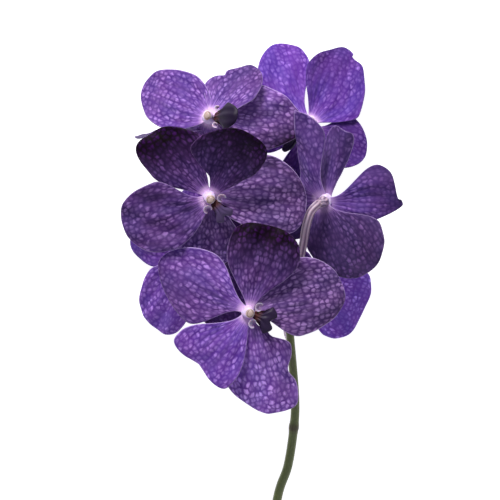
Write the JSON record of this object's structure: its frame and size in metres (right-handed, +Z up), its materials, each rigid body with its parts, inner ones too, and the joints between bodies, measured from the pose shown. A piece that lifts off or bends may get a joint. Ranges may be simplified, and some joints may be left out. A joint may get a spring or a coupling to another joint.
{
  "type": "cut vanda orchid",
  "caption": "Cut flowering stem of a blue-violet vanda orchid with netted petals, laid down, for vases, bouquets and table settings.",
  "frame": {"origin": "middle of the footprint, on the surface the stem lies on", "axes": "+X to the right of the flowers, +Y from the cut end to the tip, +Z up from the surface"},
  "size_m": [0.152, 0.3052, 0.1087],
  "materials": {
    "tepal": "velvety violet with a pale net of veins",
    "lip": "fleshy, near black violet",
    "column": "waxy cream",
    "pedicel": "pale mauve with fine stripes",
    "stem": "green plant stem, dull"
  },
  "bodies": {
    "root": {"stem": "stem", "bloom_1_dorsal_sepal": "tepal", "bloom_1_left_petal": "tepal", "bloom_1_right_petal": "tepal", "bloom_1_left_sepal": "tepal", "bloom_1_right_sepal": "tepal", "bloom_1_lip": "lip", "bloom_1_column": "column", "bloom_1_pedicel": "pedicel", "bloom_2_dorsal_sepal": "tepal", "bloom_2_left_petal": "tepal", "bloom_2_right_petal": "tepal", "bloom_2_left_sepal": "tepal", "bloom_2_right_sepal": "tepal", "bloom_2_lip": "lip", "bloom_2_column": "column", "bloom_2_pedicel": "pedicel", "bloom_3_dorsal_sepal": "tepal", "bloom_3_left_petal": "tepal", "bloom_3_right_petal": "tepal", "bloom_3_left_sepal": "tepal", "bloom_3_right_sepal": "tepal", "bloom_3_lip": "lip", "bloom_3_column": "column", "bloom_3_pedicel": "pedicel", "bloom_4_dorsal_sepal": "tepal", "bloom_4_left_petal": "tepal", "bloom_4_right_petal": "tepal", "bloom_4_left_sepal": "tepal", "bloom_4_right_sepal": "tepal", "bloom_4_lip": "lip", "bloom_4_column": "column", "bloom_4_pedicel": "pedicel", "bloom_5_dorsal_sepal": "tepal", "bloom_5_left_petal": "tepal", "bloom_5_right_petal": "tepal", "bloom_5_left_sepal": "tepal", "bloom_5_right_sepal": "tepal", "bloom_5_lip": "lip", "bloom_5_column": "column", "bloom_5_pedicel": "pedicel", "bloom_6_dorsal_sepal": "tepal", "bloom_6_left_petal": "tepal", "bloom_6_right_petal": "tepal", "bloom_6_left_sepal": "tepal", "bloom_6_right_sepal": "tepal", "bloom_6_lip": "lip", "bloom_6_column": "column", "bloom_6_pedicel": "pedicel", "bloom_7_dorsal_sepal": "tepal", "bloom_7_left_petal": "tepal", "bloom_7_right_petal": "tepal", "bloom_7_left_sepal": "tepal", "bloom_7_right_sepal": "tepal", "bloom_7_lip": "lip", "bloom_7_column": "column", "bloom_7_pedicel": "pedicel"}
  },
  "joints": []
}
